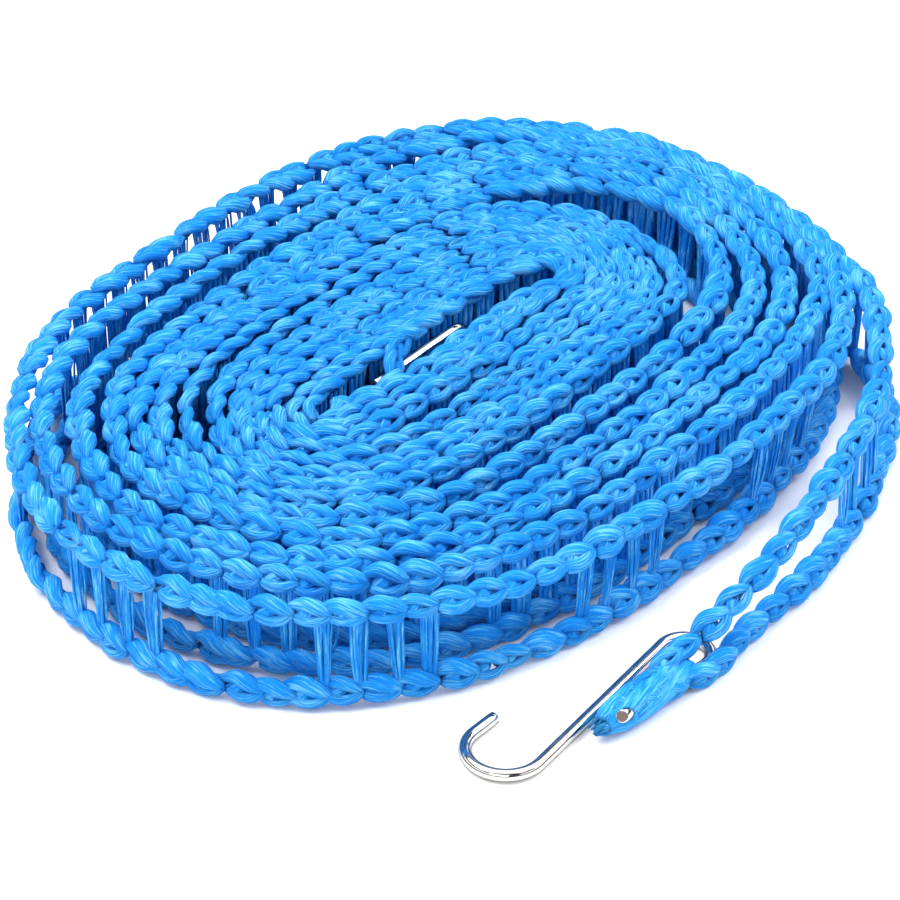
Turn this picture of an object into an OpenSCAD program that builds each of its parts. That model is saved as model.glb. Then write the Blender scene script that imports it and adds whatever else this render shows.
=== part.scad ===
// Ladder-tape clothesline: two crocheted chain cords joined by yarn rungs, a wire hook
// on each end, wound on edge into a flat oval coil. X runs along the long axis of the
// coil, Z is up, and the origin is on the surface it lies on, under the middle of the
// whole object. The numbers below are measured from the middle of the coil.

/* [Tape] */
// Diameter of one chain cord, over its stitches
cord_d = 5.6; // [5:0.1:6]
// Distance between the centres of the upper and lower cord
cord_gap = 22; // [20:0.5:24]
// Length of one stitch, which is also the spacing of the rungs in a group
stitch = 8; // [7:0.5:8.5]
// Width of one rung of straight yarn
rung_d = 2.6; // [2:0.1:3.2]

/* [Coil] */
// Half the straight length that the first turn was wound round
core_half_length = 36.8; // [34:0.2:38]
// Half the thickness of that first turn
core_half_width = 4.8; // [4:0.2:6]
// How far the middle of the outermost turn is from the core
wound_depth = 75.4; // [75:0.2:76]
// How much thinner the windings are at the end where the tape leaves
thin_side = 3.4; // [3:0.1:3.6]
// Length of the slot left open in the middle
slot_length = 80; // [78:0.5:84]
// How far the slot reaches under the upper cords at the hook's open bend
pocket_length = 21; // [21:0.5:24]
// Width of that slot
slot_width = 11; // [10.6:0.1:12]

/* [Hooks] */
// Diameter of the hook wire
wire_d = 3; // [2.6:0.1:3]
// Radius of the open bend, to the middle of the wire
bend_r = 9; // [8.6:0.1:9]
// Length of the straight shank
shank_length = 51.5; // [50:0.5:52]
// Slope of the shank across the hook
shank_slope = 6; // [5:0.5:6.5]
// Radius of the eye bend, to the middle of the wire
eye_r = 6; // [5.8:0.1:6.2]
// Length of the leg that closes the eye
leg_length = 28.5; // [26:0.5:30]
// Length of the straight tip past the open bend
tip_length = 7; // [5:0.5:7]

/* [Hidden] */

tape_blue = "#1e96fa";
cord_r = cord_d / 2;
lower_z = cord_r;
upper_z = lower_z + cord_gap;
wire_r = wire_d / 2;
round_fn = 48;

// The middle of the coil, seen from the origin.
coil_middle = [3.4, 14.4];

module at_coil() {
    translate([coil_middle[0], coil_middle[1], 0]) children();
}

// The coil is a ring: its outline is an ellipse pushed outwards by the windings.
outline_points = 120;
slot_centre = [3, 3.5];
flat_ends = 1.2;

function core_point(a) =
    let (q = sqrt(pow(core_half_length * cos(a), 2) + pow(core_half_width * sin(a), 2)))
    [pow(core_half_length, 2) * cos(a) / q, pow(core_half_width, 2) * sin(a) / q];

function depth_at(a) = wound_depth + cord_r - thin_side * cos(a) - flat_ends * cos(2 * a);

function outline_point(a) = core_point(a) + depth_at(a) * [cos(a), sin(a)];

module slot_shape(extra) {
    left = slot_centre[0] - (slot_length - slot_width) / 2 - extra;
    right = slot_centre[0] + (slot_length - slot_width) / 2;
    translate([(left + right) / 2, slot_centre[1]]) square([right - left, slot_width], center = true);
    for (end = [left, right])
        translate([end, slot_centre[1]]) circle(d = slot_width, $fn = round_fn);
}

module coil_ring(bottom, top, extra) {
    translate([0, 0, bottom])
        linear_extrude(top - bottom)
            difference() {
                polygon([for (i = [0 : outline_points - 1])
                    outline_point(360 * i / outline_points)]);
                slot_shape(extra);
            }
}

module upper_cord_coil() {
    color(tape_blue) at_coil() coil_ring(upper_z - cord_r, upper_z + cord_r, 0);
}

module rung_band_coil() {
    color("#1684e6") at_coil() coil_ring(lower_z + cord_r, upper_z - cord_r, pocket_length);
}

module lower_cord_coil() {
    color(tape_blue) at_coil() coil_ring(0, lower_z + cord_r, pocket_length);
}

// The free stretch of the tape, from the coil to the hook. Both cords follow this route,
// the lower one on the surface and the upper one above it until it sinks to the hook.
tail_route = [[99.5, -43], [94.5, -53], [89, -63], [82.5, -72], [74, -80],
              [64, -87.5], [54, -92.5], [44, -96.5], [34, -100], [24, -103],
              [14, -105.5], [4, -107.5], [-6, -108.5], [-16, -108.8], [-25, -108.5]];
// How far the upper cord has sunk below its height in the coil at each of those points.
upper_drop = [0, 0, 0, 0, 0, 0, 0, 0, 0, 0.3, 0.5, 1, 3, 7.5, 12.5];
tube_sides = 10;
steps_per_span = 2;

// A smooth curve through the route, as a Catmull-Rom spline.
function spline(p, i, t) =
    let (n = len(p) - 1,
         a = p[max(i - 1, 0)],
         b = p[i],
         c = p[min(i + 1, n)],
         d = p[min(i + 2, n)])
    0.5 * (2 * b + (c - a) * t + (2 * a - 5 * b + 4 * c - d) * t * t
           + (3 * b - a - 3 * c + d) * t * t * t);

function smooth_route(p) = concat(
    [for (i = [0 : len(p) - 2]) for (s = [0 : steps_per_span - 1])
        spline(p, i, s / steps_per_span)],
    [p[len(p) - 1]]);

function unit(v) = v / norm(v);

function heading(p, i) = unit(p[min(i + 1, len(p) - 1)] - p[max(i - 1, 0)]);

// One ring of the tube, square to the route and level across it.
function tube_ring(p, i, r) =
    let (h = heading(p, i),
         side = unit(cross(h, [0, 0, 1])),
         over = cross(side, h))
    [for (k = [0 : tube_sides - 1])
        p[i] + r * (cos(360 * k / tube_sides) * side + sin(360 * k / tube_sides) * over)];

module tube(p, r) {
    rings = len(p);
    polyhedron(
        points = [for (i = [0 : rings - 1]) each tube_ring(p, i, r)],
        faces = concat(
            [[for (k = [0 : tube_sides - 1]) k]],
            [for (i = [0 : rings - 2]) for (k = [0 : tube_sides - 1])
                let (a = i * tube_sides + k,
                     b = i * tube_sides + (k + 1) % tube_sides)
                [b, a, a + tube_sides, b + tube_sides]],
            [[for (k = [tube_sides - 1 : -1 : 0]) (rings - 1) * tube_sides + k]]));
}

module upper_cord_tail() {
    route = [for (i = [0 : len(tail_route) - 1])
        [tail_route[i][0], tail_route[i][1], upper_z - upper_drop[i]]];
    color(tape_blue) at_coil() tube(smooth_route(route), cord_r);
}

module lower_cord_tail() {
    route = [for (p = tail_route) [p[0], p[1], lower_z]];
    color(tape_blue) at_coil() tube(smooth_route(route), cord_r);
}

// The rungs stand along the tape in groups of four, one stitch apart, tied into both
// cords. A group is where its first rung stands, the direction the tape runs in there,
// and how much it turns per stitch.
first_group = [82.5, -72, 43, -3.5];
second_group = [28.5, -101.6, 16.5, -2];

module rung_of(group, i) {
    tie = 1;
    middle = group[2] + group[3] * i / 2;
    color("#2a9cff")
        at_coil()
            translate([group[0] - i * stitch * cos(middle), group[1] - i * stitch * sin(middle),
                       lower_z + cord_r - tie])
                cylinder(d = rung_d, h = cord_gap - cord_d + 2 * tie, $fn = 24);
}

module tail_rung_1() {
    rung_of(first_group, 0);
}

module tail_rung_2() {
    rung_of(first_group, 1);
}

module tail_rung_3() {
    rung_of(first_group, 2);
}

module tail_rung_4() {
    rung_of(first_group, 3);
}

module tail_rung_5() {
    rung_of(second_group, 0);
}

module tail_rung_6() {
    rung_of(second_group, 1);
}

module tail_rung_7() {
    rung_of(second_group, 2);
}

module tail_rung_8() {
    rung_of(second_group, 3);
}

// The hook lies in the XY plane with the middle of its open bend at the origin, the bend
// open to +X, and the eye at the far end of the shank.
shank_start = bend_r * [sin(shank_slope), -cos(shank_slope)];
shank_end = shank_start + shank_length * [cos(shank_slope), sin(shank_slope)];
eye_centre = shank_end + eye_r * [sin(shank_slope), -cos(shank_slope)];
leg_slope = 5.8;
leg_start = eye_centre - eye_r * [sin(leg_slope), cos(leg_slope)];

module wire_bend(centre, r, from_angle, sweep) {
    translate([centre[0], centre[1], 0])
        rotate(from_angle)
            rotate_extrude(angle = sweep, $fn = 96)
                translate([r, 0]) circle(r = wire_r, $fn = round_fn);
}

// A straight starts just inside the bend before it, and is a hair thinner there.
module wire_straight(start, direction, length) {
    lap = 0.3;
    translate([start[0], start[1], 0])
        rotate([0, 90, direction])
            translate([0, 0, -lap])
                cylinder(r = wire_r - 0.02, h = length + lap, $fn = round_fn);
}

module wire_hook() {
    wire_straight([0, bend_r], 0, tip_length);
    wire_bend([0, 0], bend_r, 90, 180 + shank_slope);
    wire_straight(shank_start, shank_slope, shank_length + 0.3);
    wire_bend(eye_centre, eye_r, -90 - leg_slope, 180 + leg_slope + shank_slope);
    wire_straight(leg_start, 180 - leg_slope, leg_length);
}

// The outer hook lies flat at the end of the tail.
outer_bend_place = [-86.5, -92.8, wire_r];
lead_r = 2.6;

module outer_hook() {
    color("silver") at_coil() translate(outer_bend_place) wire_hook();
}

// The folded, bound end of the tape is a bundle on the leg of the eye, and the two cords
// run into it past the eye.
module rounded_bar(a, b, r) {
    length = norm(b - a);
    lean = acos((b - a)[2] / length);
    turn = atan2((b - a)[1], (b - a)[0]);
    translate(a)
        rotate([0, lean, turn])
            rotate_extrude($fn = round_fn)
                intersection() {
                    translate([0, -r]) square([r, length + 2 * r]);
                    union() {
                        translate([-r, 0]) square([2 * r, length]);
                        circle(r = r, $fn = round_fn);
                        translate([0, length]) circle(r = r, $fn = round_fn);
                    }
                }
}

module outer_end_binding() {
    bundle_r = 3.6;
    color(tape_blue) at_coil() rounded_bar([-43, -106, 4], [-66, -105, 3.8], bundle_r);
}

module outer_end_lower_lead() {
    color(tape_blue) at_coil() rounded_bar([-31, -110.4, 3.2], [-41, -108.6, 3.6], lead_r);
}

module outer_end_upper_lead() {
    color(tape_blue) at_coil() rounded_bar([-33, -105.2, 6], [-41, -105.2, 5], lead_r);
}

// The inner hook stands on edge in the slot, its open bend downwards and its eye at the
// end where the tape starts.
inner_bend_place = [-43.5, 3.5, 10.9];
inner_tilt = 4;

module inner_hook() {
    color("silver")
        at_coil()
            translate(inner_bend_place)
                rotate([-90, inner_tilt, 0])
                    wire_hook();
}

// The tape's inner end is folded over the closing leg of the eye and bound to it.
module inner_end_binding() {
    color(tape_blue) at_coil() rounded_bar([-2, 3.5, 12.2], [8, 3.5, 11.2], 3.4);
}

// The inner end of the tape lies along the slot's wall before it drops to the hook.
module inner_end_lead() {
    color(tape_blue) at_coil() rounded_bar([26, 7.5, 25], [-4, 7.5, 25], 1.9);
}

upper_cord_coil();
rung_band_coil();
lower_cord_coil();
upper_cord_tail();
lower_cord_tail();
tail_rung_1();
tail_rung_2();
tail_rung_3();
tail_rung_4();
tail_rung_5();
tail_rung_6();
tail_rung_7();
tail_rung_8();
outer_hook();
outer_end_binding();
outer_end_upper_lead();
outer_end_lower_lead();
inner_hook();
inner_end_binding();
inner_end_lead();
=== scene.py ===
import math

import bpy
import numpy as np
from mathutils import Matrix, Vector


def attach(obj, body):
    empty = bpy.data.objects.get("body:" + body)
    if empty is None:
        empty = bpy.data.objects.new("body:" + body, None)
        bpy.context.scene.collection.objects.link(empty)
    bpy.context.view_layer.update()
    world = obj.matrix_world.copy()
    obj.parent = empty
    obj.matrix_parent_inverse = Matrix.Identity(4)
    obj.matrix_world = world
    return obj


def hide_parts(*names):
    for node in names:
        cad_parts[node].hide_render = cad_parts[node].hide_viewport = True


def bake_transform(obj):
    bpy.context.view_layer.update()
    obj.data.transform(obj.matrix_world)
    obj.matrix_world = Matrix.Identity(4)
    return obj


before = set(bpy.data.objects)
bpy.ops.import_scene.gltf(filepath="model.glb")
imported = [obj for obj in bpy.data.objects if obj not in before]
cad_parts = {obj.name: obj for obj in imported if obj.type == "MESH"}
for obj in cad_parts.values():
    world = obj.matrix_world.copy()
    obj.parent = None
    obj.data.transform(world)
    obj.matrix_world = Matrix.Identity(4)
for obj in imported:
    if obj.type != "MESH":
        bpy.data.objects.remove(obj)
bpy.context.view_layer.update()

# places on the tape and its hooks are in millimetres, from the middle of the coil at the height
# of the table, and the studio round them is in metres
coilMiddle = np.array([3.4, 14.4, 0.0])
millimetre = 0.001


def toWorld(points):
    return (np.asarray(points, float) + coilMiddle) * millimetre


# camera
cameraSettings = {
    "place": (-629.1, -532.1, 571.1),
    "lookAt": (-31.7, -30.8, 25.0),
    "lens": 162.5,
    "sensor": 36.0,
    "farthest": 20.0,
}

cameraData = bpy.data.cameras.new("camera")
cameraData.lens = cameraSettings["lens"]
cameraData.sensor_width = cameraSettings["sensor"]
cameraData.clip_end = cameraSettings["farthest"]
camera = bpy.data.objects.new("camera", cameraData)
bpy.context.scene.collection.objects.link(camera)
cameraPlace = Vector(toWorld(cameraSettings["place"]))
cameraTarget = Vector(toWorld(cameraSettings["lookAt"]))
camera.location = cameraPlace
camera.rotation_euler = (cameraTarget - cameraPlace).to_track_quat("-Z", "Y").to_euler()
bpy.context.scene.camera = camera
print("camera placed")

# route of the tape
tape = {
    "stitch": 8.0,
    "lowerHeight": 3.4,
    "upperHeight": 24.9,
    "coreHalfLength": 36.8,  # the ellipse that the first turn is wound on
    "coreHalfWidth": 4.8,
    "startAngle": 256.0,
    "firstTurn": 0.03,
    "turns": 12.70,
    "turnStep": 0.024,
    "innerStep": 0.55,  # stitches per turn, inside the first known turn and outside the last
    "outerStep": 1.0,
    "pointsPerGap": 12,
    "spacing": 0.5,  # between two points of the finished route
}

# how far out each turn lies, in stitches, looking from the core in six directions
turnDepths = {
    0: (0.71, [1.2, 1.6, 2.1, 2.6, 3.1, 3.6, 4.1, 6.5, 7.2, 7.9, 8.4, 8.7, 9.0]),
    90: (0.46, [0.5, 1.1, 1.6, 2.3, 2.9, 3.6, 4.3, 5.0, 5.6, 6.3, 7.4, 8.4, 9.7]),
    135: (0.34, [0.8, 1.3, 1.85, 2.4, 2.9, 3.5, 4.4, 5.2, 5.95, 6.55, 7.5, 8.7, 9.45]),
    180: (0.21, [0.75, 1.3, 1.8, 2.4, 3.0, 3.6, 4.3, 4.9, 5.5, 6.4, 7.4, 8.5, 9.8]),
    270: (0.96, [-0.05, 0.5, 1.15, 2.0, 2.8, 3.3, 3.9, 5.2, 6.4, 7.4, 8.4, 9.8]),
    310: (0.85, [0.9, 1.4, 1.9, 2.5, 3.1, 3.7, 4.5, 5.8, 6.85, 7.75, 8.9, 9.5]),
}


def eased(x):
    return x * x * (3 - 2 * x)


def depthAlong(direction, turn):
    first, depths = turnDepths[direction]
    places = first + np.arange(len(depths))
    inner = depths[0] - tape["innerStep"] * (first - turn)
    outer = depths[-1] + tape["outerStep"] * (turn - places[-1])
    value = np.interp(turn, places, depths)
    value = np.where(turn < first, inner, value)
    return np.where(turn > places[-1], outer, value)


def coilPoints(turn):
    angle = (tape["startAngle"] - 360.0 * turn) % 360.0
    directions = sorted(turnDepths)
    depth = np.zeros_like(turn)
    for i, low in enumerate(directions):
        high = directions[(i + 1) % len(directions)]
        span = (high - low) % 360
        share = ((angle - low) % 360) / span
        inside = (share >= 0) & (share < 1)
        # half straight and half eased, so that the turns bend evenly between the directions
        blendShare = 0.5 * share + 0.5 * eased(share)
        mixed = (1 - blendShare) * depthAlong(low, turn) + blendShare * depthAlong(high, turn)
        depth = np.where(inside, mixed, depth)
    # each turn lies outside the core's ellipse, by its depth along the ellipse's normal
    a, b = tape["coreHalfLength"], tape["coreHalfWidth"]
    c, s = np.cos(np.radians(angle)), np.sin(np.radians(angle))
    q = np.sqrt((a * c) ** 2 + (b * s) ** 2)
    d = depth * tape["stitch"]
    return np.stack([a * a * c / q + d * c, b * b * s / q + d * s], 1)


innerLead = [(29, 9.2), (20, 9.6), (10, 9.2), (1, 8.6), (-6, 7.4), (-12, 4.2), (-15.5, 0.4), (-21, -2.6)]
tailUpper = [
    (107.4, -12, 24.9), (102.7, -28, 24.9), (99.4, -41.4, 24.9), (94.3, -52.8, 24.9), (88.8, -63.7, 24.9),
    (81.9, -72.5, 24.9), (71.4, -80.8, 24.9), (62.7, -87.5, 24.9), (56.3, -91.5, 24.9), (50.1, -94.5, 24.9),
    (44, -97.1, 24.9), (38, -99.2, 24.6), (32, -101, 24.4), (24.6, -103.2, 24.2), (16.2, -105.5, 24),
    (8.2, -107.2, 24), (0.3, -108.8, 23.5), (-7, -109.8, 22), (-13.4, -110.2, 20), (-19, -109.8, 17),
    (-24.5, -108.8, 14), (-29.9, -107.6, 11), (-34.8, -106.4, 8.6), (-40, -105.2, 7), (-46, -104.8, 6),
    (-52, -105, 5.6), (-58, -105, 5), (-63, -104.8, 4.2), (-68, -104.6, 3.4)]
tailLower = [
    (107.4, -12, 2.9), (102.7, -28, 2.9), (98.6, -45, 2.9), (94.2, -55, 2.9), (88, -66, 2.9),
    (83, -74, 2.9), (77, -80.6, 2.9), (69.6, -85.8, 2.9), (62.4, -89.3, 2.9), (55, -92.4, 2.9),
    (48.2, -95.6, 2.9), (39.2, -98.8, 2.9), (29.4, -102, 2.9), (21.9, -104, 2.9), (12.8, -106.1, 2.9),
    (4, -107.8, 2.9), (-4.1, -108.3, 2.9), (-12.5, -108.5, 2.9), (-19.8, -108.8, 2.9), (-27, -109.8, 2.9),
    (-34.1, -110.8, 3), (-41, -110.2, 3.2), (-47.3, -109, 3.4), (-54, -108.2, 3.6), (-60, -107.6, 3.4),
    (-66, -106.4, 3), (-72, -105, 2.6)]


def unitRows(a):
    return a / np.maximum(np.linalg.norm(a, axis=1), 1e-9)[:, None]


def runAlong(points):
    return np.concatenate([[0], np.cumsum(np.linalg.norm(np.diff(points, axis=0), axis=1))])


def splineBetween(a, b, c, d, t):
    # the stretch from b to c of a smooth curve through all four
    return 0.5 * (2 * b + (c - a) * t + (2 * a - 5 * b + 4 * c - d) * t ** 2
                  + (3 * b - a - 3 * c + d) * t ** 3)


def smoothLine(points):
    # a curve through the points, then even steps along it
    p = np.asarray(points, float)
    padded = np.vstack([2 * p[0] - p[1], p, 2 * p[-1] - p[-2]])
    t = np.linspace(0, 1, tape["pointsPerGap"], endpoint=False)[:, None]
    parts = [splineBetween(*padded[i:i + 4], t) for i in range(len(p) - 1)]
    line = np.vstack(parts + [p[-1:]])
    run = runAlong(line)
    even = np.arange(0, run[-1], tape["spacing"])
    return np.stack([np.interp(even, run, line[:, k]) for k in range(line.shape[1])], 1)


def smoothNoise(count, step, amount, seed):
    local = np.random.default_rng(seed)
    knots = local.normal(0, amount, int(count / step) + 4)
    x = np.arange(count) / step
    i = x.astype(int)
    f = eased(x - i)
    return knots[i] * (1 - f) + knots[i + 1] * f


# the turns are never quite even: a slow wander sideways and up and down
wander = {
    "looseFrom": 1900.0,  # along the tape, where the turns begin to lie loosely
    "looseOver": 600.0,
    "tailLength": 260.0,  # the wander dies out along the tail
    "side": 0.22,
    "sideStep": 44,  # steps are counted in points of the route
    "lean": 0.3,
    "lowerLean": 1.3,
    "leanStep": 120,
    "lift": 0.45,
    "lowerLift": 0.3,  # share of the lift that the lower cord keeps, since it lies on the table
    "liftStep": 60,
}


def cordRoute(height, tail, seed):
    isLower = height < tape["upperHeight"] / 2
    lead = [(x, y, height) for x, y in innerLead]
    turns = np.arange(tape["firstTurn"], tape["turns"], tape["turnStep"])
    coil = [(x, y, height) for x, y in coilPoints(turns)]
    line = smoothLine(lead + coil + tail)
    count = len(line)
    run = np.arange(count) * tape["spacing"]
    toEnd = (count - np.arange(count)) * tape["spacing"]
    loose = np.clip((run - wander["looseFrom"]) / wander["looseOver"], 0, 1)
    fade = np.clip(toEnd / wander["tailLength"], 0, 1)
    tangent = unitRows(np.gradient(line, axis=0))
    outward = np.stack([-tangent[:, 1], tangent[:, 0], 0 * tangent[:, 0]], 1)
    lean = wander["lowerLean"] if isLower else wander["lean"]
    side = smoothNoise(count, wander["sideStep"], wander["side"], seed)
    side = side + loose * smoothNoise(count, wander["leanStep"], lean, seed + 1)
    lift = smoothNoise(count, wander["liftStep"], wander["lift"], seed + 2)
    line = line + outward * (side * fade)[:, None]
    line[:, 2] += lift * fade * (wander["lowerLift"] if isLower else 1.0)
    return line


upperLine = cordRoute(tape["upperHeight"], tailUpper, seed=7)
lowerLine = cordRoute(tape["lowerHeight"], tailLower, seed=23)
for line in (upperLine, lowerLine):
    print("tape route:", round(len(line) * tape["spacing"] * millimetre, 3), "m")


# mesh helpers
def addMesh(name, verts, faces, uvs, shade):
    mesh = bpy.data.meshes.new(name)
    mesh.from_pydata([tuple(v) for v in toWorld(verts)], [], faces)
    layer = mesh.uv_layers.new(name="along")
    layer.data.foreach_set("uv", np.asarray(uvs, np.float32).ravel())
    # shade is the painted shade of the yarn, more of it the more a bit of yarn is buried, and on a wire it
    # marks the cut ends
    attribute = mesh.attributes.new("shade", "FLOAT", "POINT")
    attribute.data.foreach_set("value", np.asarray(shade, np.float32))
    mesh.polygons.foreach_set("use_smooth", [True] * len(mesh.polygons))
    mesh.update()
    piece = bpy.data.objects.new(name, mesh)
    bpy.context.scene.collection.objects.link(piece)
    return piece


def tubeMesh(points, normals, wide, thick, sides, shade, capped=True, uvStart=0.0):
    tangent = unitRows(np.gradient(points, axis=0))
    across = unitRows(np.cross(tangent, normals))
    up = np.cross(across, tangent)
    angle = np.arange(sides) * 2 * math.pi / sides
    rings = (points[:, None, :]
             + (wide[:, None] * np.cos(angle))[:, :, None] * across[:, None, :]
             + (thick[:, None] * np.sin(angle))[:, :, None] * up[:, None, :])
    verts = rings.reshape(-1, 3)
    n = len(points)
    i = np.arange(n - 1)[:, None] * sides
    k = np.arange(sides)[None, :]
    a = i + k
    b = i + (k + 1) % sides
    faceList = np.stack([a, b, b + sides, a + sides], -1).reshape(-1, 4).tolist()
    # u goes once round the tube and v is the distance along it
    run = uvStart + runAlong(points)
    u0 = (k / sides) + 0 * i
    u1 = ((k + 1) / sides) + 0 * i
    v0 = run[:-1, None] + 0 * k
    v1 = run[1:, None] + 0 * k
    corners = [np.stack([u, v], -1) for u, v in ((u0, v0), (u1, v0), (u1, v1), (u0, v1))]
    uvList = [np.stack(corners, 2).reshape(-1, 2)]
    if capped:
        for ring, order in ((0, range(sides - 1, -1, -1)), (n - 1, range(sides))):
            faceList.append([ring * sides + j for j in order])
            uvList.append(np.column_stack([np.arange(sides) / sides, np.full(sides, run[ring])]))
    return verts, faceList, np.vstack(uvList), np.repeat(shade, sides)


def addJoined(name, parts):
    verts, faces, uvs, shades = [], [], [], []
    offset = 0
    for partVerts, partFaces, partUvs, partShade in parts:
        verts.append(partVerts)
        faces.extend([[j + offset for j in face] for face in partFaces])
        uvs.append(partUvs)
        shades.append(partShade)
        offset += len(partVerts)
    return addMesh(name, np.vstack(verts), faces, np.vstack(uvs), np.concatenate(shades))


# chain cords
chain = {
    "sides": 6,
    "faceTilt": 46.0,
    "backTilt": 58.0,
    "frontBearing": 220.0,
    "drift": 14.0,
    "driftStep": 90,
    "size": 1.11,
    "packedSize": 0.98,
    "packedUntil": 2300.0,
    "packedOver": 300.0,
    "lowerSize": 1.06,
    "endSize": 0.45,
    "endLength": 34.0,
    "unevenness": 0.18,
    "wobble": (0.5, 60.0, 0.5, 0.6),  # of the place, the angle, the distance and the width
    "longestShift": 9.0,
    "halfWidths": (0.5, 2.2),  # the thinnest and the fattest that the yarn may be
    "flatten": (1.04, 0.80),
    "neckStitches": 9,
    "pathStep": 6,  # points of the route between two points of the stated path
}

# one crochet stitch: place along (in stitches), angle round the cord, distance from its
# middle, half width of the yarn, and how buried it is, which sets its painted shade
stitchShape = [
    (-0.22, 84, 0.60, 1.10, 0.9),
    (0.06, 76, 1.50, 1.50, 0.3),
    (0.38, 58, 2.10, 1.80, 0.0),
    (0.72, 32, 2.00, 1.65, 0.0),
    (1.00, 4, 1.35, 1.20, 0.4),
    (1.09, -18, 1.00, 1.00, 0.8),
    (0.97, -42, 1.55, 1.20, 0.3),
    (0.70, -60, 2.00, 1.45, 0.0),
    (0.40, -64, 1.95, 1.45, 0.0),
    (0.12, -58, 1.40, 1.20, 0.4),
    (-0.08, -90, 0.80, 1.00, 0.9),
    (0.42, -4, 0.95, 2.00, 0.4),
]
# points between each row above and the next
samplesPerSpan = [2, 3, 3, 3, 2, 2, 2, 2, 2, 1, 1, 1]


def stitchRows(stitches, seed):
    # all the stitches, end to end: place, the two offsets, half width, painted shade, cos and sin
    local = np.random.default_rng(seed)
    # the yarn is followed backwards, from the end of a stitch to its start
    shape = np.array(stitchShape)
    shape[:, 0] = 1.0 - shape[:, 0]
    shape = shape[::-1]
    spans = samplesPerSpan[:-1][::-1] + [samplesPerSpan[-1]]
    knots = []
    for i in range(stitches):
        block = shape.copy()
        wobble = local.normal(0, chain["unevenness"], 4) * chain["wobble"]
        block[:, 0] += i + wobble[0]
        block[:, 1] += wobble[1]
        block[:, 2] *= 1 + wobble[2]
        block[:, 3] *= 1 + wobble[3]
        knots.append(block)
    knots = np.vstack(knots)
    turn = np.radians(knots[:, 1])
    flat = np.column_stack([knots[:, 0], knots[:, 2] * np.cos(turn), knots[:, 2] * np.sin(turn),
                            knots[:, 3], knots[:, 4], np.cos(turn), np.sin(turn)])
    padded = np.vstack([flat[:1], flat, flat[-1:]])
    rows = []
    for i in range(len(flat) - 1):
        count = spans[i % len(spans)]
        t = np.arange(count)[:, None] / count
        rows.append(splineBetween(*padded[i:i + 4], t))
    return np.vstack(rows), sum(spans)


def crochetCord(line, seed, tiltSign, bulk):
    total = (len(line) - 1) * tape["spacing"]
    stitches = int(total / tape["stitch"])
    rows, rowsPerStitch = stitchRows(stitches, seed)
    place = np.clip(rows[:, 0] * tape["stitch"], 0, total - 0.01)
    index = place / tape["spacing"]
    steps = np.arange(len(line))
    tangent = unitRows(np.gradient(line, axis=0))
    outward = unitRows(np.stack([-tangent[:, 1], tangent[:, 0], 0 * tangent[:, 0]], 1))
    upward = np.cross(outward, tangent) * -1.0

    def at(array):
        return np.stack([np.interp(index, steps, array[:, k]) for k in range(3)], 1)

    centre, n, v, t = at(line), at(outward), at(upward), at(tangent)
    drift = smoothNoise(len(line), chain["driftStep"], chain["drift"], seed + 5)
    # the open face of the stitches leans outwards at the front of the coil and inwards at its back
    bearing = np.arctan2(centre[:, 1], centre[:, 0])
    lean = 0.5 - 0.5 * np.cos(bearing - math.radians(chain["frontBearing"]))
    tilt = tiltSign * (chain["faceTilt"] + chain["backTilt"] * lean)
    tilt = np.radians(tilt + np.interp(index, steps, drift))
    faceA = n * np.cos(tilt)[:, None] + v * np.sin(tilt)[:, None]
    faceB = -n * np.sin(tilt)[:, None] + v * np.cos(tilt)[:, None]
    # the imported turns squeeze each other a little
    packed = np.clip((chain["packedUntil"] - place) / chain["packedOver"], 0, 1)
    size = bulk * (chain["size"] - (chain["size"] - chain["packedSize"]) * packed)
    # both cords thin out where they are bound to the hook
    growth = (1 - chain["endSize"]) * (total - place) / chain["endLength"]
    size = size * np.clip(chain["endSize"] + growth, chain["endSize"], 1.0)
    points = centre + faceA * (rows[:, 1] * size)[:, None] + faceB * (rows[:, 2] * size)[:, None]
    # a stitch that would run past the end of the route is pushed back along it
    shift = np.clip(place - rows[:, 0] * tape["stitch"], -chain["longestShift"], chain["longestShift"])
    points = points - t * shift[:, None]
    normals = unitRows(faceA * rows[:, 5][:, None] + faceB * rows[:, 6][:, None])
    halfWidth = np.clip(rows[:, 3], *chain["halfWidths"]) * size
    wide, thick = (halfWidth * share for share in chain["flatten"])
    shade = np.clip(rows[:, 4], 0, 1)
    cut = (stitches - chain["neckStitches"]) * rowsPerStitch
    return [tubeMesh(points[part], normals[part], wide[part], thick[part], chain["sides"], shade[part])
            for part in (slice(0, cut + 1), slice(cut, None))]


def makeCord(name, line, seed, tiltSign, bulk):
    # the last few stitches, next to the hook, are a piece of their own
    made = []
    for suffix, part in zip(("_cord", "_neck"), crochetCord(line, seed, tiltSign, bulk)):
        made.append(addMesh(name + suffix, *part))
        print(name + suffix, "faces:", len(part[1]))
    return made


upperCord, upperNeck = makeCord("upper_chain", upperLine, seed=3, tiltSign=1, bulk=1.0)
lowerCord, lowerNeck = makeCord("lower_chain", lowerLine, seed=5, tiltSign=0.35, bulk=chain["lowerSize"])

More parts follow.
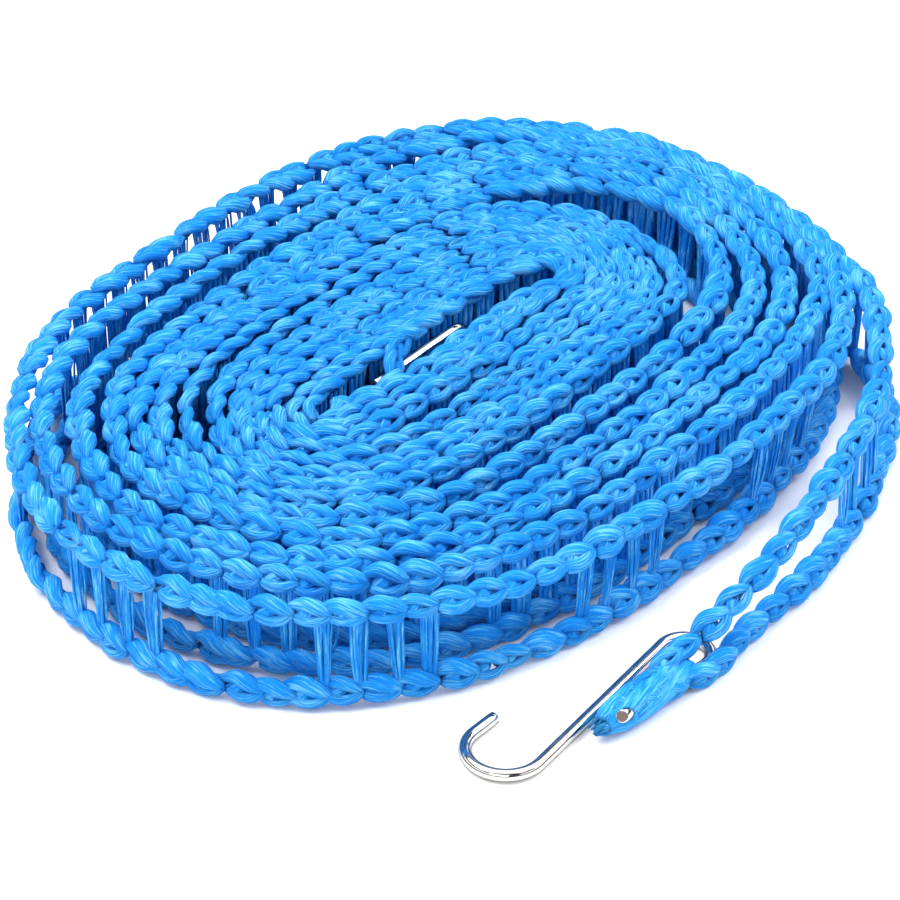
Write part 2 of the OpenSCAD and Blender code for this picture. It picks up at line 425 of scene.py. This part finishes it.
# rungs
rungs = {
    "group": 4,  # rungs side by side, then an opening up to the next group
    "period": 8,
    "phase": 5,
    "offset": 0.15,
    "firstStitch": 4,  # the first stitch of the cord that has a rung under it
    "lastStitch": 10,  # counted back from the end of the cord
    "leastHeight": 18.0,  # no rung fits where the cords come together
    "outerLength": 1250.0,
    "tailLength": 240.0,
    "closeSide": (45.0, 128.0),  # bearings between which the outer turns have no openings
    "closeSpread": 1.35,
    "innerSpread": 1.5,
    "filaments": 13,
    "innerFilaments": 7,
    "filamentRadius": 0.3,
    "innerFatness": 1.9,
    "flatten": 1.25,
    "sides": 4,
    "halfWidthTop": 2.2,
    "halfWidthBottom": 1.4,
    "widthRange": (0.85, 1.1),
    "fatRange": (0.85, 1.2),
    "pinchRange": (0.65, 1.35),
    "slide": 0.5,
    "sink": 1.2,  # how far the ends go into the cords
    "topLayers": (0.6, 0.35),  # middle and half gap of the two layers of filaments, outwards
    "bottomLayers": (0.5, 0.3),
    "bow": 0.22,  # sideways
    "out": (0.1, 0.2),  # outwards, middle and spread
    "looseShare": 0.02,
    "looseBow": (1.4, 2.6),
    # painted shade along each filament, darkest at its ends where it runs into the cords
    "shade": (0.7, 0.25, 0, 0, 0.25, 0.7),
    "searchReach": 80,
}


def pointOn(line, distance):
    index = np.clip(distance / tape["spacing"], 0, len(line) - 2)
    i = int(index)
    f = index - i
    return line[i] * (1 - f) + line[i + 1] * f


def pointBeside(line, point, guess):
    # the point of the line nearest to another one seen from above, looked for round a guess
    guess = min(guess, len(line) - 1)
    low = max(0, guess - rungs["searchReach"])
    high = min(len(line), guess + rungs["searchReach"])
    near = np.linalg.norm(line[low:high, :2] - point[:2], axis=1)
    return line[low + int(near.argmin())].copy()


def rungFilaments(local, top, bottom, ahead, isOuter, isClose):
    outward = np.array([-ahead[1], ahead[0], 0])
    filaments = rungs["filaments"] if isOuter else rungs["innerFilaments"]
    fat = rungs["filamentRadius"] * (1.0 if isOuter else rungs["innerFatness"])
    spread = 1.0 if isOuter else rungs["innerSpread"]
    if isClose:
        spread = rungs["closeSpread"]
    pinch = local.uniform(*rungs["pinchRange"])
    slide = local.normal(0, rungs["slide"])
    sink = np.array([0, 0, rungs["sink"]])
    topOut, topGap = rungs["topLayers"]
    bottomOut, bottomGap = rungs["bottomLayers"]
    t = np.linspace(0, 1, len(rungs["shade"]))[:, None]
    arch = 4 * t * (1 - t)
    parts = []
    for k in range(filaments):
        share = (k + 0.5) / filaments * 2 - 1
        layer = (k % 2) * 2 - 1
        topWidth = share * spread * rungs["halfWidthTop"] * local.uniform(*rungs["widthRange"])
        bottomWidth = share * spread * rungs["halfWidthBottom"] * pinch + slide
        start = top + ahead * topWidth + outward * (topOut + layer * topGap) - sink
        stop = bottom + ahead * bottomWidth + outward * (bottomOut + layer * bottomGap) + sink
        bow = local.normal(0, rungs["bow"])
        out = local.normal(*rungs["out"])
        # a few filaments of the outer turns hang loose
        if isOuter and local.random() < rungs["looseShare"]:
            bow = local.choice([-1, 1]) * local.uniform(*rungs["looseBow"])
        path = start * (1 - t) + stop * t + ahead * bow * arch + outward * out * arch
        normal = np.repeat(outward[None], len(path), 0)
        size = np.full(len(path), fat * local.uniform(*rungs["fatRange"]))
        parts.append(tubeMesh(path, normal, size * rungs["flatten"], size, rungs["sides"], rungs["shade"],
                              capped=False, uvStart=local.uniform(0, 40)))
    return parts


def makeRungs():
    coilParts, tailParts = [], []
    local = np.random.default_rng(77)
    total = (len(upperLine) - 1) * tape["spacing"]
    count = int(total / tape["stitch"])
    closeFrom, closeTo = rungs["closeSide"]
    for i in range(rungs["firstStitch"], count - rungs["lastStitch"]):
        distance = (i + rungs["offset"]) * tape["stitch"]
        top = pointOn(upperLine, distance)
        isOuter = distance > total - rungs["outerLength"]
        bearing = math.degrees(math.atan2(top[1], top[0])) % 360
        isClose = isOuter and closeFrom < bearing < closeTo
        inOpening = (i - rungs["phase"]) % rungs["period"] >= rungs["group"]
        if inOpening and isOuter and not isClose:
            continue
        bottom = pointBeside(lowerLine, top, int(distance / tape["spacing"]))
        if top[2] - bottom[2] < rungs["leastHeight"]:
            continue
        ahead = unitRows((pointOn(upperLine, distance + 2) - pointOn(upperLine, distance - 2))[None])[0]
        parts = tailParts if distance > total - rungs["tailLength"] else coilParts
        parts.extend(rungFilaments(local, top, bottom, ahead, isOuter, isClose))
    return addJoined("coil_rungs", coilParts), addJoined("tail_rungs", tailParts)


coilRungs, tailRungs = makeRungs()
print("rungs made:", len(coilRungs.data.polygons), len(tailRungs.data.polygons))

# wire hooks
hook = {
    "wireRadius": 1.5,
    "bendRadius": 9.0,
    "eyeRadius": 6.0,
    "shankLength": 51.5,
    "shankSlope": 6.0,
    "legSlope": 5.8,
    "legLength": 28.5,
    "tipLength": 7.0,
    "sides": 28,
    "endRounding": ((0.2, 1.2), (0.12, 1.4)),  # past the end of the wire, and radius there
    "outerPlace": (-86.5, -92.8, 1.5),
    "outerKickUp": 5.6,
    "kickUpPoints": 5,
    "innerPlace": (-43.5, 3.5, 10.9),
    "innerTilt": 4.0,
}


def arcPoints(centre, radius, fromAngle, toAngle, count):
    angles = np.radians(np.linspace(fromAngle, toAngle, count))
    return [(centre[0] + radius * math.cos(a), centre[1] + radius * math.sin(a)) for a in angles]


def hookLine():
    # tip, open bend, shank, eye bend and closing leg, in a flat plane
    slope = math.radians(hook["shankSlope"])
    leg = math.radians(hook["legSlope"])
    bend, eye = hook["bendRadius"], hook["eyeRadius"]
    points = [(x, bend) for x in np.linspace(hook["tipLength"], 0.4, 5)]
    points += arcPoints((0, 0), bend, 90, 270 + hook["shankSlope"], 40)
    start = np.array([bend * math.sin(slope), -bend * math.cos(slope)])
    end = start + hook["shankLength"] * np.array([math.cos(slope), math.sin(slope)])
    points += [tuple(start + (end - start) * f) for f in np.linspace(0.04, 0.96, 16)]
    eyeCentre = end + eye * np.array([math.sin(slope), -math.cos(slope)])
    points += arcPoints(eyeCentre, eye, 90 + hook["shankSlope"], -90 - hook["legSlope"], 34)
    last = np.array(points[-1])
    direction = -np.array([math.cos(leg), -math.sin(leg)])
    points += [tuple(last + direction * d) for d in np.linspace(1.0, hook["legLength"], 12)]
    return np.column_stack([np.array(points), np.zeros(len(points))])


def makeHook(name, turn, place, kickUp):
    line = hookLine()
    # the last of the closing leg is bent up through the bound end
    fromEnd = len(line) - hook["kickUpPoints"]
    rise = np.clip((np.arange(len(line)) - fromEnd) / (hook["kickUpPoints"] - 1), 0, 1) ** 1.5 * kickUp
    line += np.outer(rise, (-0.65, -0.75, 1.0))
    line = line @ turn.T + np.array(place)
    normal = np.repeat((turn @ np.array([0, 0, 1.0]))[None], len(line), 0)
    size = np.full(len(line), hook["wireRadius"])
    # the cut ends are slightly rounded
    aheadStart = unitRows((line[0] - line[1])[None])[0]
    aheadEnd = unitRows((line[-1] - line[-2])[None])[0]
    (farOut, farRadius), (nearOut, nearRadius) = hook["endRounding"]
    line = np.vstack([line[0] + aheadStart * farOut, line[0] + aheadStart * nearOut, line,
                      line[-1] + aheadEnd * nearOut, line[-1] + aheadEnd * farOut])
    normal = np.vstack([normal[:2], normal, normal[-2:]])
    size = np.concatenate([[farRadius, nearRadius], size, [nearRadius, farRadius]])
    shade = np.zeros(len(line))
    shade[0] = shade[-1] = 1.0
    piece = addMesh(name, *tubeMesh(line, normal, size, size, hook["sides"], shade))
    for face in list(piece.data.polygons)[-2:]:
        face.use_smooth = False
    return piece


lying = np.identity(3)
onEdge = Matrix.Rotation(math.radians(-90), 3, "X")
standing = np.array(Matrix.Rotation(math.radians(hook["innerTilt"]), 3, "Y") @ onEdge)
outerHook = makeHook("outer_wire_hook", lying, hook["outerPlace"], hook["outerKickUp"])
innerHook = makeHook("inner_wire_hook", standing, hook["innerPlace"], 0.0)
print("hooks made")

# bound ends
binding = {
    # a little painted shade all over the bound end
    "shade": 0.1,
    "strands": 7,
    "strandRadius": 1.3125,
    "strandReach": (-0.1, 1.04),  # in lengths of the bound end, as far as from start to end
    "strandTwist": (0.9, 1.6),
    "strandRing": 0.72,  # height of the ring of strands over its width
    "strandFlatten": (1.4, 0.8),
    "strandPoints": 16,
    "wraps": 4,
    "wrapRadius": 0.75,
    "wrapFirst": 0.2,  # place of the first wrap and the step to the next, along the bound end
    "wrapStep": 0.18,
    "wrapPitch": 2.2,
    "wrapSwell": 1.08,
    "wrapRing": 0.76,
    "wrapFlatten": (1.7, 0.6),
    "wrapPoints": 30,
    "tuftFilaments": 26,
    "tuftRadius": 0.42,
    "tuftSpread": (0.2, 0.8),
    "tuftReach": (0.6, 1.0),
    "tuftStart": 1.5,
    "tuftRing": 0.6,
    "tuftFlatten": (1.3, 1.0),
    "tuftPoints": 6,
    "outer": {"start": (-42, -107.0, 4.0), "end": (-67, -105.6, 3.6), "radius": 3.7, "tuft": 6.0},
    "inner": {"start": (9, 3.5, 11.2), "end": (-4, 3.5, 12.4), "radius": 2.7, "tuft": 3.0},
}


def makeBinding(name, start, end, radius, tuft, seed):
    local = np.random.default_rng(seed)
    a, b = np.array(start, float), np.array(end, float)
    length = np.linalg.norm(b - a)
    ahead = (b - a) / length
    side = unitRows(np.cross(ahead, [0, 0, 1.0])[None])[0]
    up = np.cross(side, ahead)
    parts = []

    def ringOffset(r, angle, flat):
        return np.outer(r * np.cos(angle), side) + np.outer(r * flat * np.sin(angle), up)

    def addTube(path, normal, size, flatten, sides, uvStart):
        shade = np.full(len(path), binding["shade"])
        wide, thick = (size * share for share in flatten)
        parts.append(tubeMesh(path, normal, wide, thick, sides, shade, uvStart=uvStart))

    # the folded end of the tape: strands with a slow twist
    for k in range(binding["strands"]):
        angle0 = 2 * math.pi * k / binding["strands"] + local.uniform(-0.2, 0.2)
        t = np.linspace(*binding["strandReach"], binding["strandPoints"])
        angle = angle0 + t * local.uniform(*binding["strandTwist"])
        swell = 0.78 + 0.22 * np.sin(np.clip(t, 0, 1) * math.pi) + local.normal(0, 0.02)
        r = radius * swell * np.where(t > 0.9, 0.75, 1)
        path = a + np.outer(t * length, ahead) + ringOffset(r, angle, binding["strandRing"])
        size = np.full(len(t), binding["strandRadius"] * local.uniform(0.9, 1.2))
        size[0] = size[-1] = size[0] * 0.6
        addTube(path, unitRows(ringOffset(1.0, angle, 1.0)), size, binding["strandFlatten"], 8, k * 7.0)
    # the yarn wound round them
    for k in range(binding["wraps"]):
        t = np.linspace(0, 1, binding["wrapPoints"])
        angle = t * 2 * math.pi
        along = length * (binding["wrapFirst"] + binding["wrapStep"] * k) + t * binding["wrapPitch"]
        ring = ringOffset(radius * binding["wrapSwell"], angle, binding["wrapRing"])
        path = a + np.outer(along, ahead) + ring
        size = np.full(len(t), binding["wrapRadius"])
        addTube(path, unitRows(ringOffset(1.0, angle, 1.0)), size, binding["wrapFlatten"], 6, k * 5.0)
    # the frayed tip
    for k in range(binding["tuftFilaments"]):
        t = np.linspace(0, 1, binding["tuftPoints"])
        angle = local.uniform(0, 2 * math.pi)
        r = radius * local.uniform(*binding["tuftSpread"]) * (1 - 0.35 * t)
        reach = local.uniform(*binding["tuftReach"]) * tuft
        along = np.outer(t * reach - binding["tuftStart"], ahead)
        path = b + along + ringOffset(r, angle, binding["tuftRing"])
        size = binding["tuftRadius"] * (1 - 0.5 * t)
        addTube(path, np.repeat(up[None], len(t), 0), size, binding["tuftFlatten"], 5, k * 3.0)
    return addJoined(name, parts)


outerBinding = makeBinding("outer_bound_end", **binding["outer"], seed=9)
innerBinding = makeBinding("inner_bound_end", **binding["inner"], seed=15)
print("bound ends made")

# materials
yarnLook = {
    "base": (0.003, 0.315, 0.86, 1.0),
    # painted highlight and painted shade: the filament streaks run from the darkest of these tones through
    # the base to the lightest. They are partly the yarn's own uneven tone and partly painted highlights and
    # shade. The darkest tone is also the painted shade of buried yarn
    "streakHighlight": (0.15, 0.57, 1.0, 1.0),
    "shadeTone": (0.0005, 0.23, 0.84, 1.0),
    "rungBase": (0.008, 0.32, 0.84, 1.0),
    # painted light: the bound ends get a lighter copy of the same yarn
    "boundLitBase": (0.015, 0.40, 0.93, 1.0),
    "filamentsRound": 26.0,
    "rungFilamentsRound": 3.0,
    "filamentsAlong": 0.16,
    "streakDetail": 3.0,
    "streakRoughness": 0.65,
    "patchScale": 130.0,
    "patchDetail": 2.0,
    "patchShift": 0.07,
    "patchRange": (0.35, 0.65),
    "shadeToneAt": 0.32,
    "baseAt": 0.5,
    "streakHighlightAt": 0.68,
    # how much painted shade the most buried yarn gets
    "buriedShadeShare": 0.4,
    "bumpStrength": 1.3,
    "bumpDistance": 0.0004,
    "roughness": 0.55,
    "specular": 0.2,
    "sheen": 0.08,
    "sheenRoughness": 0.4,
    "sheenTint": (0.12, 0.55, 1.0, 1.0),
}


def addNode(tree, kind, values=None, **settings):
    node = tree.nodes.new(kind)
    for key, value in settings.items():
        setattr(node, key, value)
    setInputs(node, values or {})
    return node


def setInputs(node, values):
    for key, value in values.items():
        node.inputs[key].default_value = value


def filamentGroup():
    group = bpy.data.node_groups.new("filaments", "ShaderNodeTree")
    group.interface.new_socket("Rounds", in_out="INPUT", socket_type="NodeSocketFloat")
    group.interface.new_socket("Streaks", in_out="OUTPUT", socket_type="NodeSocketFloat")
    group.interface.new_socket("Patches", in_out="OUTPUT", socket_type="NodeSocketFloat")
    group.interface.new_socket("Normal", in_out="OUTPUT", socket_type="NodeSocketVector")
    inputs = addNode(group, "NodeGroupInput")
    outputs = addNode(group, "NodeGroupOutput")
    uvMap = addNode(group, "ShaderNodeUVMap", uv_map="along")
    split = addNode(group, "ShaderNodeSeparateXYZ")
    roundTurn = addNode(group, "ShaderNodeMath", operation="MULTIPLY")
    lengthwise = addNode(group, "ShaderNodeMath", {1: yarnLook["filamentsAlong"]}, operation="MULTIPLY")
    join = addNode(group, "ShaderNodeCombineXYZ")
    streaks = addNode(group, "ShaderNodeTexNoise", {
        "Scale": 1.0, "Detail": yarnLook["streakDetail"],
        "Roughness": yarnLook["streakRoughness"]}, noise_dimensions="2D")
    coords = addNode(group, "ShaderNodeTexCoord")
    patches = addNode(group, "ShaderNodeTexNoise", {
        "Scale": yarnLook["patchScale"], "Detail": yarnLook["patchDetail"]})
    bump = addNode(group, "ShaderNodeBump", {
        "Strength": yarnLook["bumpStrength"], "Distance": yarnLook["bumpDistance"]})
    link = group.links.new
    link(uvMap.outputs[0], split.inputs[0])
    link(split.outputs["X"], roundTurn.inputs[0])
    link(inputs.outputs["Rounds"], roundTurn.inputs[1])
    link(split.outputs["Y"], lengthwise.inputs[0])
    link(roundTurn.outputs[0], join.inputs["X"])
    link(lengthwise.outputs[0], join.inputs["Y"])
    link(join.outputs[0], streaks.inputs["Vector"])
    link(coords.outputs["Object"], patches.inputs["Vector"])
    link(streaks.outputs[0], bump.inputs["Height"])
    link(streaks.outputs[0], outputs.inputs["Streaks"])
    link(patches.outputs[0], outputs.inputs["Patches"])
    link(bump.outputs[0], outputs.inputs["Normal"])
    return group


filaments = filamentGroup()


def yarnMaterial(name, base, rounds):
    material = bpy.data.materials.new(name)
    material.use_nodes = True
    tree = material.node_tree
    shader = tree.nodes["Principled BSDF"]
    group = addNode(tree, "ShaderNodeGroup", node_tree=filaments)
    group.inputs["Rounds"].default_value = rounds
    # painted highlights and painted shade along the filament streaks, over the yarn's own uneven tone
    ramp = addNode(tree, "ShaderNodeValToRGB")
    ramp.color_ramp.elements[0].position = yarnLook["shadeToneAt"]
    ramp.color_ramp.elements[0].color = yarnLook["shadeTone"]
    ramp.color_ramp.elements[1].position = yarnLook["streakHighlightAt"]
    ramp.color_ramp.elements[1].color = yarnLook["streakHighlight"]
    ramp.color_ramp.elements.new(yarnLook["baseAt"]).color = base
    patchRamp = addNode(tree, "ShaderNodeMapRange", {
        "From Min": yarnLook["patchRange"][0], "From Max": yarnLook["patchRange"][1],
        "To Min": -yarnLook["patchShift"], "To Max": yarnLook["patchShift"]})
    shift = addNode(tree, "ShaderNodeMath", operation="ADD")
    # painted shade: the buried parts of the yarn are mixed towards the darkest tone
    buriedShade = addNode(tree, "ShaderNodeAttribute", attribute_name="shade")
    share = addNode(tree, "ShaderNodeMath", {1: yarnLook["buriedShadeShare"]}, operation="MULTIPLY")
    paintedShade = addNode(tree, "ShaderNodeMix", {7: yarnLook["shadeTone"]}, data_type="RGBA")
    link = tree.links.new
    link(group.outputs["Patches"], patchRamp.inputs["Value"])
    link(group.outputs["Streaks"], shift.inputs[0])
    link(patchRamp.outputs[0], shift.inputs[1])
    link(shift.outputs[0], ramp.inputs[0])
    link(buriedShade.outputs["Fac"], share.inputs[0])
    link(share.outputs[0], paintedShade.inputs[0])
    link(ramp.outputs["Color"], paintedShade.inputs[6])
    link(paintedShade.outputs[2], shader.inputs["Base Color"])
    link(group.outputs["Normal"], shader.inputs["Normal"])
    setInputs(shader, {
        "Roughness": yarnLook["roughness"], "Specular IOR Level": yarnLook["specular"],
        "Sheen Weight": yarnLook["sheen"], "Sheen Roughness": yarnLook["sheenRoughness"],
        "Sheen Tint": yarnLook["sheenTint"]})
    return material


cordYarn = yarnMaterial("cord_yarn", yarnLook["base"], yarnLook["filamentsRound"])
rungYarn = yarnMaterial("rung_yarn", yarnLook["rungBase"], yarnLook["rungFilamentsRound"])
# painted light: the bound ends use a lighter copy of the cord yarn
boundLitYarn = yarnMaterial("bound_lit_yarn", yarnLook["boundLitBase"], yarnLook["filamentsRound"])

chromeLook = {
    "tint": (0.76, 0.75, 0.73, 1.0),
    "shade": (0.66, 0.64, 0.62, 1.0),
    "shadeAt": 0.3,
    "tintAt": 0.6,
    "edgeTint": (0.22, 0.21, 0.20, 1.0),
    "cutEnd": (0.22, 0.18, 0.15, 1.0),
    "cutRoughness": 0.55,
    "cutAbove": 0.6,
    "roughness": 0.09,
    "roughnessRange": (0.7, 1.5),
    "noiseScale": 900.0,
    "noiseDetail": 3.0,
}


def chromeMaterial():
    material = bpy.data.materials.new("nickel_wire")
    material.use_nodes = True
    tree = material.node_tree
    shader = tree.nodes["Principled BSDF"]
    setInputs(shader, {"Metallic": 1.0, "Specular Tint": chromeLook["edgeTint"]})
    coords = addNode(tree, "ShaderNodeTexCoord")
    noise = addNode(tree, "ShaderNodeTexNoise", {
        "Scale": chromeLook["noiseScale"], "Detail": chromeLook["noiseDetail"]})
    ramp = addNode(tree, "ShaderNodeMapRange", {
        "To Min": chromeLook["roughness"] * chromeLook["roughnessRange"][0],
        "To Max": chromeLook["roughness"] * chromeLook["roughnessRange"][1]})
    tint = addNode(tree, "ShaderNodeValToRGB")
    tint.color_ramp.elements[0].position = chromeLook["shadeAt"]
    tint.color_ramp.elements[0].color = chromeLook["shade"]
    tint.color_ramp.elements[1].position = chromeLook["tintAt"]
    tint.color_ramp.elements[1].color = chromeLook["tint"]
    # the sheared ends are dull and grey-brown
    cut = addNode(tree, "ShaderNodeAttribute", attribute_name="shade")
    cutMask = addNode(tree, "ShaderNodeMath", {1: chromeLook["cutAbove"]}, operation="GREATER_THAN")
    cutColour = addNode(tree, "ShaderNodeMix", {7: chromeLook["cutEnd"]}, data_type="RGBA")
    cutRough = addNode(tree, "ShaderNodeMix", {3: chromeLook["cutRoughness"]}, data_type="FLOAT")
    link = tree.links.new
    link(coords.outputs["Object"], noise.inputs["Vector"])
    link(noise.outputs[0], ramp.inputs["Value"])
    link(noise.outputs[0], tint.inputs[0])
    link(cut.outputs["Fac"], cutMask.inputs[0])
    link(cutMask.outputs[0], cutColour.inputs[0])
    link(cutMask.outputs[0], cutRough.inputs[0])
    link(tint.outputs["Color"], cutColour.inputs[6])
    link(ramp.outputs[0], cutRough.inputs[2])
    link(cutColour.outputs[2], shader.inputs["Base Color"])
    link(cutRough.outputs[0], shader.inputs["Roughness"])
    return material


chrome = chromeMaterial()
for piece, material, slotName in (
        (upperCord, cordYarn, "cord"), (lowerCord, cordYarn, "cord"),
        (upperNeck, cordYarn, "cord"), (lowerNeck, cordYarn, "cord"),
        (outerBinding, boundLitYarn, "cord"), (innerBinding, boundLitYarn, "cord"),
        (coilRungs, rungYarn, "rung_yarn"), (tailRungs, rungYarn, "rung_yarn"),
        (outerHook, chrome, "hook_wire"), (innerHook, chrome, "hook_wire")):
    piece.data.materials.append(material)
print("materials made")

# how the pieces move: the cords and rungs go with the coil, each hook and its bound end go with that hook's
# end, and the necks are left on their own
for neck in (upperNeck, lowerNeck):
    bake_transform(neck)
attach(upperCord, "coil")
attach(lowerCord, "coil")
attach(coilRungs, "coil")
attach(tailRungs, "coil")
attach(outerHook, "outer_hook_end")
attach(outerBinding, "outer_hook_end")
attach(innerHook, "inner_hook_end")
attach(innerBinding, "inner_hook_end")

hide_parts("upper_cord_coil")
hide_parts("upper_cord_tail")
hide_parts("inner_end_lead")
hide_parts("lower_cord_coil")
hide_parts("lower_cord_tail")
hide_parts("outer_end_upper_lead")
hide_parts("outer_end_lower_lead")
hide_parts("rung_band_coil")
for i in range(1, 9):
    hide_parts("tail_rung_%d" % i)
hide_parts("outer_hook")
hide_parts("inner_hook")
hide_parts("outer_end_binding")
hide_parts("inner_end_binding")


# floor and light, in metres
studio = {
    "floorTone": 1.0,
    "floorRoughness": 0.9,
    "floorSpecular": 0.1,
    "floorHalfSize": 6.0,
    "floorDrop": 0.0002,
    "worldStrength": 1.8,
    # tones of the sky from the horizon up: bright overhead with darker bands low down, which
    # the bright wire needs to show its shape
    "skyBands": ((0.0, 0.9), (0.05, 0.03), (0.28, 0.03), (0.33, 0.95), (0.50, 0.95), (0.53, 0.04),
                 (0.72, 0.04), (0.77, 1.0), (1.0, 1.0)),
    "cardEdge": 0.82,
    "cardSoftness": 0.06,
    "cardTone": 0.08,
    "lights": {
        "key": {"place": (-0.35, 0.45, 1.1), "target": (0, 0, 0), "size": (0.9, 0.6), "power": 11.0},
        "fill": {"place": (-1.0, -0.5, 0.6), "target": (0, 0, 0), "size": (0.8, 0.5), "power": 4.0},
        "side": {"place": (0.55, -0.5, 0.7), "target": (0.05, -0.08, 0), "size": (0.6, 0.4), "power": 4.5},
    },
}


def makeFloor():
    half = studio["floorHalfSize"]
    mesh = bpy.data.meshes.new("floor")
    mesh.from_pydata([(-half, -half, 0), (half, -half, 0), (half, half, 0), (-half, half, 0)], [],
                     [(0, 1, 2, 3)])
    floor = bpy.data.objects.new("floor", mesh)
    floor.location.z = -studio["floorDrop"]
    bpy.context.scene.collection.objects.link(floor)
    material = bpy.data.materials.new("floor")
    material.use_nodes = True
    setInputs(material.node_tree.nodes["Principled BSDF"], {
        "Base Color": (studio["floorTone"],) * 3 + (1.0,), "Roughness": studio["floorRoughness"],
        "Specular IOR Level": studio["floorSpecular"]})
    mesh.materials.append(material)
    return floor


floor = makeFloor()


def makeSky():
    world = bpy.data.worlds.new("studio")
    bpy.context.scene.world = world
    world.use_nodes = True
    tree = world.node_tree
    background = tree.nodes["Background"]
    background.inputs["Strength"].default_value = studio["worldStrength"]
    coords = addNode(tree, "ShaderNodeTexCoord")
    split = addNode(tree, "ShaderNodeSeparateXYZ")
    bands = addNode(tree, "ShaderNodeValToRGB")
    stops = bands.color_ramp.elements
    for position, tone in studio["skyBands"]:
        if position in (0.0, 1.0):
            stop = stops[0] if position == 0.0 else stops[len(stops) - 1]
        else:
            stop = stops.new(position)
        stop.color = (tone, tone, tone, 1.0)
    # a dark card on the camera's side
    facing = addNode(tree, "ShaderNodeVectorMath", operation="DOT_PRODUCT")
    facing.inputs[1].default_value = tuple((cameraPlace - cameraTarget).normalized())
    card = addNode(tree, "ShaderNodeMapRange", {
        "From Min": studio["cardEdge"], "From Max": studio["cardEdge"] + studio["cardSoftness"],
        "To Min": 1.0, "To Max": studio["cardTone"]}, interpolation_type="SMOOTHSTEP")
    carded = addNode(tree, "ShaderNodeMix", {0: 1.0}, data_type="RGBA", blend_type="MULTIPLY")
    link = tree.links.new
    link(coords.outputs["Generated"], split.inputs[0])
    link(split.outputs["Z"], bands.inputs[0])
    link(coords.outputs["Generated"], facing.inputs[0])
    link(facing.outputs["Value"], card.inputs["Value"])
    link(bands.outputs["Color"], carded.inputs[6])
    link(card.outputs[0], carded.inputs[7])
    link(carded.outputs[2], background.inputs["Color"])


def addLight(name, place, target, size, power):
    data = bpy.data.lights.new(name, "AREA")
    data.shape = "RECTANGLE"
    data.size, data.size_y = size
    data.energy = power
    lamp = bpy.data.objects.new(name, data)
    lamp.location = place
    lamp.rotation_euler = (Vector(target) - Vector(place)).to_track_quat("-Z", "Y").to_euler()
    bpy.context.scene.collection.objects.link(lamp)


makeSky()
for lightName, values in studio["lights"].items():
    addLight(lightName, **values)
bpy.context.scene.view_settings.view_transform = "Standard"
print("studio ready")
